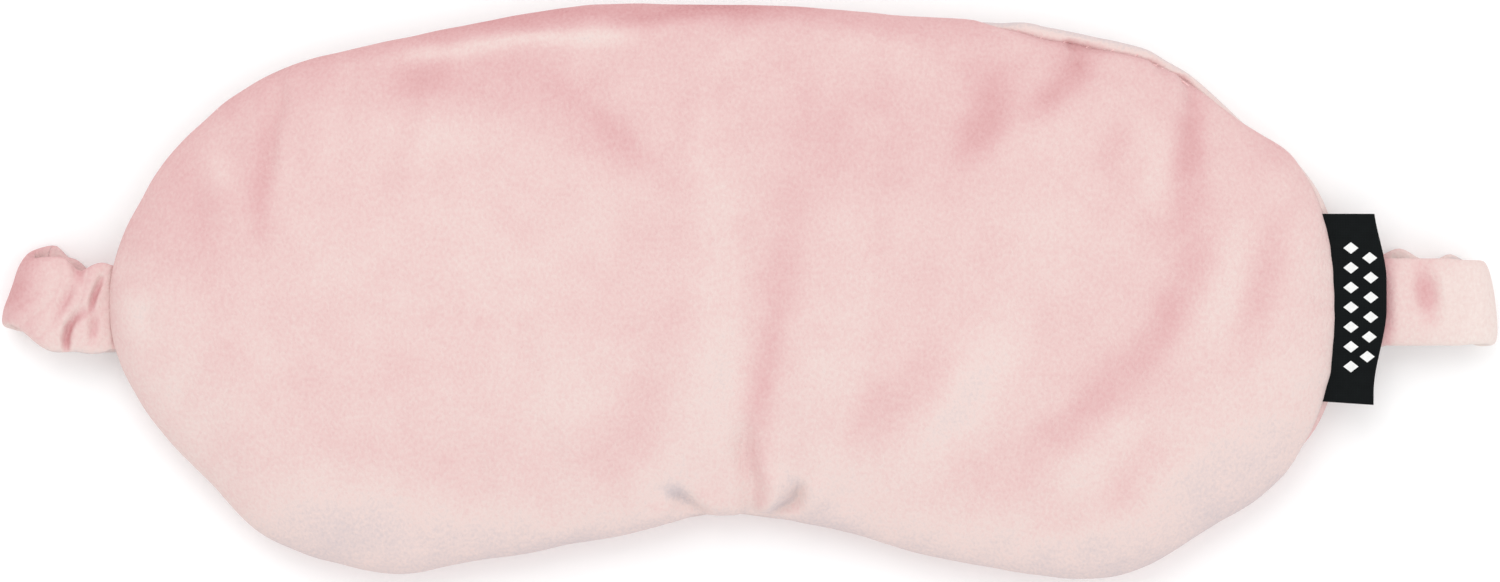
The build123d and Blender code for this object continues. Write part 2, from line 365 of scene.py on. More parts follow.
def finer(points, front_faces, back_faces):
    """The body with each face cut in four and smoothed. The seam stays where the two covers meet."""
    made = new_object("finer", points, front_faces + back_faces)
    sides = [0] * len(front_faces) + [1] * len(back_faces)
    made.data.materials.append(None)
    made.data.materials.append(None)
    made.data.polygons.foreach_set("material_index", sides)
    modifier = made.modifiers.new("Subdivision", "SUBSURF")
    modifier.levels = 1
    mesh = made.evaluated_get(bpy.context.evaluated_depsgraph_get()).data
    result = coordinates(mesh).copy()
    front = [tuple(p.vertices) for p in mesh.polygons if p.material_index == 0]
    back = [tuple(p.vertices) for p in mesh.polygons if p.material_index == 1]
    bpy.data.objects.remove(made)
    return result, front, back


def normals_of(points, faces):
    """The outward direction at each point, averaged over the faces that meet there."""
    total = np.zeros_like(points)
    corners = [face[:3] for face in faces]
    corners += [(face[0], face[2], face[3]) for face in faces if len(face) == 4]
    a, b, c = np.array(corners).T
    across = np.cross(points[b] - points[a], points[c] - points[a])
    for corner in (a, b, c):
        np.add.at(total, corner, across)
    return unit(total, 1e-15)


def soft_stroke(places, line, width, ends=(0.0, 0.0)):
    """1 along a line, fading over width. ends gives the strength at the line's two ends."""
    away, share = along_line(places, np.array(line) * MM)
    strength = ends[0] + (1 - ends[0]) * ease(share / 0.4)
    strength *= ends[1] + (1 - ends[1]) * ease((1 - share) / 0.4)
    return hump(away, width * MM) * strength


def wandered(places, reach, size, seed):
    """The places, each moved a little by smooth noise, so that what is laid on them wanders."""
    shift = np.column_stack([soft_noise(*places.T, size, seed + k) for k in (0, 1)])
    return places + reach * shift


MM = 0.001
# Folds and swellings of the front: the line in mm, its width and height in mm, and its strength
# at each end.
FRONT_FOLDS = [
    # the crease down the middle
    ([(-3.5, 22), (-3.2, 0), (-2.4, -16), (-1.2, -28)], 5.0, -0.55, (0, 1)),
    ([(-1.6, -20), (-0.8, -29), (0.4, -33), (0.0, -39)], 1.7, -1.5, (0, 1)),
    ([(5, -25), (3.0, -31), (1.8, -36)], 2.0, 0.35, (0, 0.5)),
    # dimples at the nose
    ([(-14.6, -34.0), (-11.6, -36.4), (-8.8, -38.4), (-7.8, -40)], 1.3, -1.9, (0.1, 0.9)),
    ([(-10.6, -34.4), (-6.5, -36.8), (-3.0, -38.2)], 2.0, 0.9, (0, 0.6)),
    ([(-17.0, -36.6), (-14.0, -39.4)], 2.2, 0.6, (0, 0.3)),
    ([(6.8, -32.0), (8.3, -34.2), (7.4, -36.8), (3.6, -38.8), (2.0, -40)], 1.2, -2.2, (0.1, 0.9)),
    ([(10.2, -31.5), (11.4, -35.5), (9.5, -39)], 1.8, 0.6, (0, 0.3)),
    ([(2.8, -30.6), (4.6, -33.6), (3.6, -37.4)], 2.0, 1.7, (0.2, 0.7)),
    # the upper left
    ([(-81.6, 38), (-80.9, 33.0), (-81.8, 28), (-82.3, 22), (-83.2, 14)], 1.4, -1.0, (0.8, 0)),
    ([(-86.5, 24), (-89.4, 17.5), (-90.5, 10)], 4.0, 0.45, (0, 0)),
    ([(-66, 39.6), (-51.7, 41.9), (-38, 43.9), (-25, 44.3), (-12, 46.4), (4, 46.8)], 1.5, 0.6, (0, 0)),
    # wrinkles from the closed seam
    ([(38.6, 39), (41, 33), (38.6, 23)], 3.4, -0.55, (0.6, 0)),
    ([(46, 37), (45, 30), (42, 22)], 3.0, 0.3, (0.5, 0)),
    ([(57.5, 42), (54, 36.5), (50.2, 31.5)], 2.4, -0.75, (0.8, 0)),
    ([(55.3, 44.6), (55.8, 41.4), (56.4, 37.8)], 0.8, -0.7, (1, 0)),
    ([(70.2, 41), (70.8, 38.4), (71, 36.4)], 0.9, -0.6, (1, 0)),
    ([(62, 39), (60, 32), (56, 25)], 3.0, 0.3, (0.4, 0)),
    ([(71.5, 36), (71.2, 25), (70.4, 13)], 2.6, 0.4, (0.2, 0)),
    ([(76, 36), (76, 30), (75.4, 21)], 1.9, -0.6, (0.8, 0)),
    ([(75.2, 37.4), (75.8, 34.4), (76.4, 31.2)], 0.8, -0.6, (1, 0)),
    ([(92, 28), (85, 18), (80, 8), (78.5, -6)], 5.0, 0.4, (0, 0)),
    ([(72.6, 16), (76, 5.5), (69, -8.5), (58.8, -19), (48.4, -27.5), (36.3, -36)], 4.2, -0.4, (0, 0)),
    ([(43, -3), (38, -15), (30, -27)], 5.0, 0.3, (0, 0)),
    ([(-103.2, -1.5), (-103.0, -7)], 1.0, -0.4, (0.2, 0.2)),
    ([(-36, 38), (-26, 29.6), (-10.3, 16.7)], 3.2, -0.22, (0, 0)),
]
# Where the colour is laid deeper pink or paler: the line and width in mm, and above 0 for the deeper
# pink.
# Some are the nap's own patches. The deeper ones along the front's creases and the forehead's rolled
# edge are painted shade, and the pale ones along ridges are painted highlight.
NAP_AND_SHADE_STROKES = [
    # the forehead's rolled edge: deeper pink as painted shade where it turns away, and under it a pale
    # line as a painted highlight on the ridge
    ([(-76, 38.5), (-58, 43), (-36, 47.4), (-20, 49), (0, 48.4), (26, 46), (44, 43.4)], 2.6, 0.85),
    ([(-72, 38.2), (-51.7, 41.4), (-38, 43.1), (-20, 44.2)], 1.4, -0.8),
    ([(-32, 43.0), (-18, 44.2)], 2.2, -0.4),
    ([(-66, 36.2), (-54, 36.8), (-42, 35.2)], 3.8, 0.4),
    ([(-76, 33), (-62, 33), (-40, 36), (-24, 37)], 6.5, 0.35),
    ([(-38, 39.5), (-33.5, 34), (-26, 29), (-18, 22.4), (-10.3, 16.7)], 3.0, 0.5),
    ([(8.7, 43), (13, 30), (13, 12)], 6.5, 0.42),
    ([(30, 38), (25, 28), (20, 14)], 9.0, 0.32),
    ([(37.0, 43), (40.6, 36), (40.4, 30), (35.0, 18)], 4.2, 0.85),
    ([(59.0, 44), (55.4, 38), (51.6, 32.6), (46, 27)], 3.2, 0.95),
    ([(64, 33), (62.6, 24), (61, 14)], 3.4, 0.3),
    ([(76.8, 37), (76.6, 31), (75.6, 22), (74, 14)], 2.6, 0.75),
    ([(76, 34), (75, 20), (76, 6), (71, -6), (61, -17), (49, -27.5), (34, -36)], 3.6, 0.68),
    ([(95, 16), (89, 9), (86.2, 0), (86.2, -14)], 3.0, 0.55),
    ([(36, -6), (28, -15), (20, -23), (13, -29)], 5.6, 0.5),
    ([(-14.6, 0), (-15.6, -14), (-20, -26), (-30, -36)], 5.4, 0.42),
    ([(9, 34), (6.4, 12), (4.2, -6), (2.4, -20), (1.2, -34)], 4.0, 0.5),
    ([(4.6, 0), (2.4, -14), (1.2, -25), (0.9, -36)], 2.0, 0.5),
    ([(-82.4, 37), (-81.4, 30), (-83.2, 16), (-83.5, 4)], 1.9, 0.65),
    ([(-88, 21), (-95.4, 12), (-98, 2)], 4.5, 0.3),
    ([(-48, -2), (-49, -8)], 6.0, 0.2),
    ([(-90, -8), (-87, -20)], 4.5, 0.22),
    ([(-78, -25), (-60, -27.5), (-44, -29.5)], 3.6, 0.2),
    ([(72, -24), (65, -32), (60, -40)], 3.2, 0.26),
    ([(-2, 46), (-5.6, 34), (-7.5, 22), (-5.4, 6), (-4.8, -16), (-3.4, -30)], 4.2, -0.26),
    ([(-4.2, 43), (1, 38)], 5.0, -0.2),
    ([(-66, 24), (-52, 27), (-38, 25)], 4.5, -0.16),
    ([(71.0, 32), (70.4, 22), (68.8, 12)], 2.8, -0.3),
    ([(83.4, 13), (81.4, 2), (80.6, -10)], 3.4, -0.4),
    ([(42, 16), (52, 12), (60, 4)], 6.0, -0.2),
    ([(45, 2), (42, -10), (33, -24), (22, -33)], 4.5, -0.45),
    ([(68, -19), (60, -28), (50, -38)], 3.4, -0.34),
    ([(94, -14), (86, -26), (72, -36)], 6.0, -0.26),
    ([(-106.4, 2), (-105.6, -4), (-104, -12)], 4.0, -0.45),
    # at the nose: painted shade greys the two dimples, with the silvery tone of the nap, and a painted
    # highlight pales the lobe beside the crease
    ([(-15.4, -33.4), (-12.4, -35.8), (-8.6, -38.6)], 1.6, -0.5),  # silvery hollows at the nose
    ([(7.6, -31.4), (9.4, -34.4), (8.2, -37.0), (2.6, -39)], 1.7, -0.5),
    ([(2.4, -28), (5.2, -32), (4.2, -36)], 2.0, -0.45),
    ([(-22, -37), (-12, -31), (-4, -33)], 4.0, -0.3),
    ([(-92, 24), (-88.4, 15)], 2.6, -0.5),
    ([(-30, 0), (-32, -14), (-40, -26)], 6.0, -0.18),
    ([(-96, -30), (-70, -42), (-40, -43), (-18, -38)], 5.5, -0.35),
    ([(20, -39), (50, -44), (80, -40)], 4.5, -0.3),
]


def fold_front(points, normals):
    """The front's folds, and the small puckers that run in from the closed seam."""
    places = points[:, :2]
    height = np.zeros(len(points))
    for line, width, rise, ends in FRONT_FOLDS:
        height += soft_stroke(places, line, width, ends) * rise * MM
    for size, seed, rise in ((0.019, 3, 0.00022), (0.007, 4, 0.00007)):
        height += soft_noise(*places.T, size, seed) * rise
    facing = np.sqrt(np.clip(normals[:, 2], 0, 1))
    return points + normals * (height * facing)[:, None]


SEAM_RUN = 0.55  # the length of the seam right round the mask


def gather_seam(points, normals, seam):
    """The covers draw in along the seam, and pucker where it shows."""
    seam_tree = KDTree(len(seam))
    for index, place in enumerate(seam):
        seam_tree.insert(place, index)
    seam_tree.balance()
    nearest, index, away = [np.array(found) for found in zip(*map(seam_tree.find, points))]
    x, y = nearest[:, 0], nearest[:, 1]
    shown = ease((x - 0.036) / 0.01) * ease((0.096 - x) / 0.012) * (y > 0.015)
    by_strap = ease((-0.1 - x) / 0.003) * ease((0.018 - np.abs(y - STRAP_Y)) / 0.006)
    depth = 0.0006 + 0.0003 * shown - 0.0004 * by_strap
    draw = hump(away, 0.0011) * depth
    run = index / len(seam) * SEAM_RUN
    pucker = soft_noise(run, np.zeros_like(run), 0.0046, 8) * hump(away - 0.002, 0.004) * 0.00022
    return points - normals * draw[:, None] + normals * (pucker * (0.5 + 1.1 * shown))[:, None]


def nap_and_shade_of(places):
    """How far each place is laid toward the deeper pink: the nap's patches, and the painted shade and
    painted highlights of the strokes above.
    """
    nap_and_shade = np.zeros(len(places))
    moved = wandered(wandered(places, 0.0013, 0.015, 61), 0.0005, 0.005, 63)
    for line, width, strength in NAP_AND_SHADE_STROKES:
        nap_and_shade += soft_stroke(moved, line, width, (0.1, 0.1)) * strength
    for size, seed, strength in ((0.021, 21, 0.16), (0.008, 22, 0.09), (0.0034, 23, 0.07)):
        nap_and_shade += soft_noise(*places.T, size, seed) * strength
    return nap_and_shade


def store_nap_and_shade(piece, values):
    # the stored values are the nap together with painted shade and painted highlights
    nap_and_shade = piece.data.attributes.new("nap_and_shade", "FLOAT", "POINT")
    nap_and_shade.data.foreach_set("value", values.astype(np.float32))


def shell(name, points, faces, normals, thickness):
    """A closed skin: the faces as they are, a second layer inside them, and a rim between the two."""
    used = sorted({k for face in faces for k in face})
    inner = points[used] - normals[used] * thickness
    return smooth(new_object(name, np.vstack([points[used], inner]), doubled(faces, used)))


def smooth(piece):
    piece.data.polygons.foreach_set("use_smooth", [True] * len(piece.data.polygons))
    return piece


PAD_GAP = 0.0007  # between the wadding and its cover
PAD_OFF_SEAM = 0.0004  # between the wadding's flat side and the seam's level
PAD_THINNEST = 0.0006


def wadding(name, low_side, base):
    """A pad of filling that lies inside one cover, flat where it meets the lining. It leaves out the
    rows nearest the seam."""
    rows = range(FRONT_RINGS + 4, base.rows) if low_side else range(4, FRONT_RINGS + 1)
    ring_count = base.rows * COLUMNS
    inner = (len(base.points) - ring_count) // 2
    start = ring_count + (inner if low_side else 0)
    keep = [row * COLUMNS + i for row in rows for i in range(COLUMNS)]
    keep += list(range(start, start + inner))
    chosen = set(keep)
    every = base.back_faces if low_side else base.front_faces
    faces = [face for face in every if all(k in chosen for k in face)]
    folded = base.points if low_side else fold_front(base.points, base.normals)
    skin = folded - base.normals * (VELVET + PAD_GAP)
    limit, way = (np.minimum, -1) if low_side else (np.maximum, 1)
    flat_z = SEAM_Z + way * PAD_OFF_SEAM
    skin[:, 2] = limit(skin[:, 2], flat_z + way * PAD_THINNEST)
    outer = skin[keep]
    middle = outer.mean(axis=0)
    flat = middle + (outer - middle) * 0.998
    flat[:, 2] = flat_z
    return smooth(new_object(name, np.vstack([outer, flat]), doubled(faces, keep)))


LINING_INSET = 0.0022
LINING_RIGHT = 0.0985  # it stops short of the label and the strap's root


def lining_sheet():
    """The blackout lining: one flat layer held in the seam, with a slight ripple."""
    ring = OUTLINE - OUTWARD * LINING_INSET
    ring[:, 0] = np.minimum(ring[:, 0], LINING_RIGHT)
    inner, triangles = fill_ring(ring)
    flat = np.vstack([ring, inner])
    height = SEAM_Z + soft_noise(*flat.T, 0.02, 5) * 0.00008
    points = np.column_stack([flat, height])
    normals = np.tile([0.0, 0.0, 1.0], (len(points), 1))
    points[:, 2] += LINING / 2
    return shell("blackout_cloth", points, [tuple(t) for t in triangles], normals, LINING)


# ---- the strap ----------------------------------------------------------------------------------
STRAP_THICK = 0.0034
STRAP_WALL = 0.0004  # thickness of the strap's velvet
STRAP_ROOT = 0.0012  # thickness of the strap where it is sewn flat into the seam
LEFT_SEAM = -0.1100
RIGHT_SEAM = 0.1008
STRAP_SEAM = {-1: LEFT_SEAM, 1: RIGHT_SEAM}
STRAP_MID = STRAP_THICK / 2  # height of the strap's middle under the mask
TURN_RADIUS = (SEAM_Z - STRAP_MID) / 2
TURN_REACH = STRAP_HIGH.x - STRAP_THICK / 2 - TURN_RADIUS
ELASTIC_HALF = 0.00545
ELASTIC_THICK = 0.00072
CREASED_TO = 0.022  # a turn's creases lie in this much of its length, counted from its root
# Creases across the strap's upper leg: the line in mm, and its width and depth in mm.
LEFT_CREASES = [
    ([(-112.0, 2.2), (-112.6, 0.6), (-113.2, -0.9), (-113.8, -3.2)], 0.45, 2.3),
    ([(-113.8, -2.6), (-115.4, -3.8), (-117.0, -5.2)], 0.8, 0.7),
    ([(-116.4, -4.4), (-117.5, -6.0), (-118.0, -7.8), (-118.0, -10.4)], 0.6, 2.2),
    ([(-113.2, -3.2), (-113.4, -8.6)], 0.8, 0.7),
    ([(-116.6, 1.6), (-118.2, -1.6), (-120.0, -4.4)], 1.0, 0.6),
    ([(-116.9, 6.0), (-116.0, 3.6), (-115.4, 1.8)], 0.8, 0.8),
    ([(-124.0, 4.0), (-125.6, 0.0), (-126.6, -4)], 1.6, 0.5),
    ([(-109.9, 7), (-109.8, -12)], 0.4, 1.0),
]
RIGHT_CREASES = [
    ([(116.0, 4.0), (116.6, 0.0), (117.4, -4.2)], 1.7, 1.7),
    ([(109.9, 5), (109.7, 0), (109.9, -9)], 1.2, 0.7),
    ([(121.6, 5.0), (122.1, -1), (123.0, -6)], 1.8, 0.25),
]
# Each turn's name, its creases, and its gathers' depth, seed and size.
TURNS = {
    -1: ("left", LEFT_CREASES, 0.00016, 31, 0.0039),
    1: ("right", RIGHT_CREASES, 0.0001, 41, 0.0062),
}


def turn_end(side):
    """Where the middle of each turn's curve is. The left turn leans, so it stops a little short."""
    return side * (TURN_REACH - (0.0008 if side < 0 else 0.0))


def strap_lie(side, x, bent):
    """The strap's centre, half width and slant at each step outside the mask, where bent is 0 on the
    upper leg and 1 on the lower one. above and below move the legs, narrow and tight squeeze them."""
    out = np.clip((np.abs(x) - abs(STRAP_SEAM[side])) / MM, 0, None)
    if side < 0:
        above = -0.8 - 0.7 * hump(out - 6, 3.0) + 2.7 * ease((out - 7) / 9)
        below = 2.4 * ease((out - 10.2) / 3.5) - 1.9 * hump(out - 3.5, 4.0)
        tight = 0.7 * ease((out - 10) / 7) + 1.4 * hump(out - 4.2, 3.2)
        narrow = 0.1 + 0.9 * hump(out - 6.3, 2.2) + 2.2 * ease((out - 9) / 8) + 0.5 * hump(out, 1.2)
        slant = 0.32 * ease((out - 2) / 13)
    else:
        above = 0.1 + 0 * out
        below = 2.0 * hump(out - 13.2, 3.3) + 1.3 * hump(out - 22.0, 1.9) - 0.25
        tight = 0.35 * ease((out - 10) / 7) + 0.2
        narrow = 0.35 + 0.35 * ease((out - 20) / 4)
        slant = -0.13 * ease((out - 4) / 13)
    centre = STRAP_Y + (above * (1 - bent) + below * bent) * MM
    width = STRAP_HALF - (narrow * (1 - bent) + tight * bent + 0.25) * MM
    return centre, width, slant


def turn_path(side):
    """The strap's middle line from inside the seam round to the start of its run under the mask."""
    start = STRAP_SEAM[side] - side * 0.0030
    path = [(x, SEAM_Z) for x in np.linspace(start, turn_end(side), 90)]
    for angle in np.linspace(0, math.pi, 26)[1:]:
        reach = turn_end(side) + side * TURN_RADIUS * math.sin(angle)
        path.append((reach, SEAM_Z - TURN_RADIUS * (1 - math.cos(angle))))
    return np.array(path)


def gathers(along, across, seed, size):
    """Gathered cloth over elastic: uneven ridges across the strap, from -1 to 0.5."""
    wander = soft_noise(along, across, size * 2.4, seed) * 0.9 + across / size * 0.22
    wave = np.abs(np.sin((along / size + wander) * math.pi))
    return np.sqrt(wave) * 1.5 - 1


def ribbon_tube(name, path, lie, thick, sides, shape, wall=None):
    """A flat tube along a path in the X-Z plane, hollow if it has a wall. lie gives its centre, half
    width and slant at each step. shape(x, y, along, up, deep) gives how far each point moves out
    sideways and upward, and its nap with its painted shade and painted highlights."""
    step = unit(np.gradient(path, axis=0))
    outer = 1 if step[0, 0] > 0 else -1
    normal = outer * np.column_stack([-step[:, 1], step[:, 0]])
    along = distances(path)
    turn = np.arange(sides) / sides * math.tau
    across = np.sign(np.cos(turn)) * np.abs(np.cos(turn)) ** 0.8
    up = np.sign(np.sin(turn)) * np.abs(np.sin(turn)) ** 0.7
    rings, nap_and_shade = [], []
    for skin in (0, wall) if wall else (0,):
        for k, (x, z) in enumerate(path):
            centre, half, slant = (values[k] for values in lie)
            wide = half - skin
            deep = max(thick[k] / 2 - skin, 0.0002)
            y = centre + across * wide
            leaning = x + slant * across * wide
            wide_shift, rise_shift, nap_shade = shape(leaning, y, along[k], up, thick[k] / 2)
            rise = up * deep + rise_shift * np.sign(up)
            height = np.maximum(z + normal[k, 1] * rise, FLOOR_GAP)
            ring = [leaning + normal[k, 0] * rise, y + across * wide_shift, height]
            rings.append(np.column_stack(ring))
            nap_and_shade.append(nap_shade)
    count = len(path)
    if wall:
        faces = doubled(between(range(count), sides), range(count * sides))
    else:
        faces = tube_faces(count, sides)
    made = smooth(new_object(name, np.vstack(rings), faces))
    store_nap_and_shade(made, np.concatenate(nap_and_shade))
    face_outward(made)
    return made


def face_outward(piece):
    """Turns every face of a closed mesh to look outward."""
    bm = bmesh.new()
    bm.from_mesh(piece.data)
    bmesh.ops.recalc_face_normals(bm, faces=bm.faces)
    bm.to_mesh(piece.data)
    bm.free()


def strap_shape(creases, depth, seed, size, plain_at):
    """How a strap's skin moves out from a plain flat tube, by its gathers and its creases.
    The gathers fade out at the distances in plain_at, where the strap's pieces meet."""

    def shape(x, y, along, up, deep):
        full = min(float(ease(abs(along - place) / 0.003)) for place in plain_at)
        across = y - STRAP_Y
        line = np.full(len(across), along)
        above, below = gathers(line, across, seed, size), gathers(line, across, seed + 1, size)
        rise = np.where(up > 0, above, below) * depth * full * np.abs(up) ** 0.5
        wander = float(soft_noise(along, seed * 0.1, size * 0.9, seed + 2))
        wide = np.full(len(across), wander * depth * full * 1.4)
        pit = pits(x, y, along, deep, creases) * ease((up + 0.1) / 0.6)
        # the strap's colour: painted sheen pales the tube's sides right of the mask, and it grows
        # paler toward the right end; painted shade deepens the left turn's curved end, and a painted
        # shadow of the label lies on the strap beside it
        edges = 0.3 * ease(0.6 - up) if creases else 0.8 * ease((1.05 - up) / 0.3)
        paler = 0.45 * ease((x - 0.114) / 0.012) + (x > 0.1) * edges
        deeper = 0.4 * ease((-0.1205 - x) / 0.004) + 0.9 * hump(x - 0.1095, 0.0016) * (up > 0)
        # the third value: painted shade deepens the creases and the gathers' hollows, and a painted
        # highlight pales the gathers' ridges
        return wide, rise - pit, pit / MM * 1.1 - rise / MM * 0.5 + deeper - paler

    return shape


def pits(x, y, along, deep, creases):
    """How far a turn's creases press into it at each place. They never meet its far side."""
    places = np.column_stack([x, y])
    total = np.zeros(len(x))
    for route, width, depth in creases if along <= CREASED_TO else ():
        total += soft_stroke(places, route, width, (0.3, 0.3)) * depth * MM
    most = deep * 0.8
    return most * np.tanh(total / most)


def elastic_shape(creases):
    """The elastic is plain and flat, and is pressed down where the strap round it is creased."""

    def shape(x, y, along, up, deep):
        plain = np.zeros(len(x))
        return plain, -pits(x, y, along, 0.0012, creases) * np.sign(up), plain

    return shape


def strap_pair(name, path, lie, thick, shape, creases):
    """A length of the strap's cover, and the elastic inside it."""
    cover = ribbon_tube(f"strap_{name}", path, lie, thick, 96, shape, STRAP_WALL)
    lie = (lie[0], np.full(len(path), ELASTIC_HALF), lie[2])
    thin = ELASTIC_THICK * np.where(thick < 0.0026, 0.5, 1.0)
    elastic = ribbon_tube(f"elastic_{name}", path, lie, thin, 36, elastic_shape(creases))
    return cover, elastic


def strap_turn(side):
    """One end of the strap, sewn into the seam and turned back under the mask."""
    seam_x = STRAP_SEAM[side]
    path = turn_path(side)
    full = ease((np.abs(path[:, 0]) - abs(seam_x)) / 0.0045)
    thick = STRAP_ROOT + (STRAP_THICK - STRAP_ROOT) * full
    bent = ease((SEAM_Z - path[:, 1]) / (2 * TURN_RADIUS))
    centre, width, slant = strap_lie(side, path[:, 0], bent)
    word, creases, depth, seed, size = TURNS[side]
    shape = strap_shape(creases, depth, seed, size, (distances(path)[-1],))
    lie = (centre, width, slant)
    cover, elastic = strap_pair(f"turn_{word}", path, lie, thick, shape, creases)
    for piece in (cover, elastic):
        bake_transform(piece)
    return cover, elastic


def back_run():
    """The long run of the strap under the mask, from one turn to the other, with its elastic."""
    path = np.array([(x, STRAP_MID) for x in np.linspace(turn_end(-1), turn_end(1), 300)])
    left, right = [strap_lie(side, path[:, 0], 1.0) for side in (-1, 1)]
    lie = [np.where(path[:, 0] < 0, a, b) for a, b in zip(left, right)]
    thick = np.full(len(path), STRAP_THICK)
    shape = strap_shape((), 0.00022, 51, 0.0052, (0.0, distances(path)[-1]))
    cover, elastic = strap_pair("back_run", path, lie, thick, shape, ())
    for piece in (cover, elastic):
        lowest = coordinates(piece.data)[:, 2].min()
        piece.data.transform(Matrix.Translation((0, 0, max(0, FLOOR_GAP - lowest))))
        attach(piece, "strap")
    return cover, elastic


def thread_line(points, radius, sides=8):
    """A round thread through a list of points, closed at both ends."""
    points = np.array(points)
    step = unit(np.gradient(points, axis=0))
    level = unit(np.cross(step, [0.0, 0.0, 1.0]), 1e-9)
    upright = np.cross(level, step)
    turn = np.arange(sides) / sides * math.tau
    rings = []
    for k, point in enumerate(points):
        taper = 0.55 if k in (0, len(points) - 1) else 1.0
        ring = np.outer(np.cos(turn), level[k]) + np.outer(np.sin(turn), upright[k])
        rings.append(point + ring * radius * taper)
    return np.vstack(rings), tube_faces(len(points), sides)


def many(name, parts):
    """One object made of many small closed meshes."""
    points, faces, start = [], [], 0
    for part_points, part_faces in parts:
        points.append(part_points)
        faces += [tuple(k + start for k in face) for face in part_faces]
        start += len(part_points)
    made = smooth(new_object(name, np.vstack(points), faces))
    face_outward(made)
    return made


CLOSING_PITCH = 0.0042
STRAP_STITCH_PITCH = 0.0034


def closing_seam(seam):
    """Hand stitches over the gap through which the mask was filled."""
    low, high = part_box("closing_stitches")
    chosen = [k for k, p in enumerate(seam) if low.x <= p[0] <= high.x and p[1] > 0.02]
    run = seam[sorted(chosen, key=lambda k: seam[k][0])]
    along = distances(run)
    parts = []
    for start in np.arange(0.0012, along[-1] - 0.0012, CLOSING_PITCH):
        a, b = [
            np.array([np.interp(at, along, run[:, k]) for k in range(3)])
            for at in (start, start + 0.0008)
        ]
        out = np.array(Vector((a[0] - 0.02, a[1] * 2.0, 0)).normalized())
        across = [a - out * 0.0008, a - out * 0.0002, (a + b) / 2 + out * 0.0004, b + out * 0.0011]
        lift = [-0.0003, 0.0001, -0.0002, -0.0012]
        parts.append(thread_line([p + [0, 0, h] for p, h in zip(across, lift)], 0.00013))
    return many("closing_thread", parts)


def strap_stitches():
    """The row of short stitches that closes the strap's cover, under the mask."""
    starts = np.arange(LEFT_SEAM + 0.002, RIGHT_SEAM - 0.004, STRAP_STITCH_PITCH)
    edge = STRAP_Y + STRAP_HALF - 0.0002
    return many("strap_edge_thread", [thread_line(stitch(x, edge), 0.00015) for x in starts])


def stitch(x, y):
    """A stitch that dips at both ends."""
    steps = [(0, -0.0004), (0.0004, 0), (0.002, 0), (0.0024, -0.0004)]
    return [(x + along, y + out, STRAP_MID) for along, out in steps]


# ---- the side label -----------------------------------------------------------------------------
LABEL_TAPE = 0.0003  # thickness of the tape
LABEL_ROOT = 0.0966
LABEL_WIDE = 0.009  # about how far it reaches from its root
LABEL_BEND = 0.00034  # radius of its fold
LABEL_BULGE = 0.0021  # how far its folded edge draws back towards its two ends
LABEL_SLANT = 0.0007  # how far the lower end's outer corner hangs below its root
LABEL_MIDDLE = (LABEL_LOW.y + LABEL_HIGH.y) / 2
LABEL_HALF = (LABEL_HIGH.y - LABEL_LOW.y) / 2


def label_reach(y):
    """How far the label's folded edge stands out at each place down its length."""
    off = np.abs(y - LABEL_MIDDLE - 0.0022) / LABEL_HALF
    return LABEL_HIGH.x + 0.0001 - LABEL_BULGE * ease((off - 0.15) / 0.85)


def label_height(x, y):
    """The height of the label's upper face."""
    share = np.clip((x - LABEL_ROOT) / (LABEL_HIGH.x - LABEL_ROOT), 0, 1)
    off = (y - LABEL_MIDDLE) / LABEL_HALF
    root = 0.0009 * (1 - ease((x - LABEL_ROOT) / 0.0050))
    return LABEL_HIGH.z - 0.00016 + 0.0004 * np.sin(share * 3.1) - 0.0005 * share * off**2 - root


def tape_section():
    """The folded tape seen end on: a closed line of shares of its reach, and of heights."""
    half = LABEL_TAPE / 2
    line = [(t, -half) for t in np.linspace(0, 1, 12)]
    for angle in np.linspace(0, math.pi, 9)[1:-1]:
        beyond = math.sin(angle) * LABEL_BEND / LABEL_WIDE
        line.append((1 + beyond, -half - LABEL_BEND * (1 - math.cos(angle))))
    line = np.array(line + [(t, -half - 2 * LABEL_BEND) for t in np.linspace(1, 0, 12)])
    step = unit(np.gradient(line * [LABEL_WIDE, 1], axis=0))
    out = np.column_stack([-step[:, 1], step[:, 0]]) * [half / LABEL_WIDE, half]
    return np.vstack([line + out, (line - out)[::-1]])


def side_label():
    """A black tape folded double, with its raw ends sewn into the seam."""
    rows = 44
    loop = tape_section()
    points = []
    for y in np.linspace(LABEL_LOW.y, LABEL_HIGH.y, rows):
        reach = label_reach(y) - LABEL_ROOT - LABEL_BEND - LABEL_TAPE / 2
        x = LABEL_ROOT + loop[:, 0] * reach
        z = label_height(x, y) + loop[:, 1]
        low = ease((LABEL_MIDDLE - y) / LABEL_HALF)
        points.append(np.column_stack([x, y - LABEL_SLANT * low * loop[:, 0], z]))
    count = len(loop)
    faces = between(range(rows), count)
    for base in (0, (rows - 1) * count):
        for i in range(count // 2 - 1):
            faces.append((base + i, base + i + 1, base + count - 2 - i, base + count - 1 - i))
    made = smooth(new_object("folded_label", np.vstack(points), faces))
    face_outward(made)
    crisp(made, 40)
    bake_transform(made)
    return made


def crisp(piece, degrees):
    """Edges sharper than this keep their crease in a smoothly shaded mesh."""
    piece.data.set_sharp_from_angle(angle=math.radians(degrees))


DIAMOND_WIDE = 0.0013  # half its width
DIAMOND_HIGH = 0.0010
DIAMOND_PITCH = 0.0034


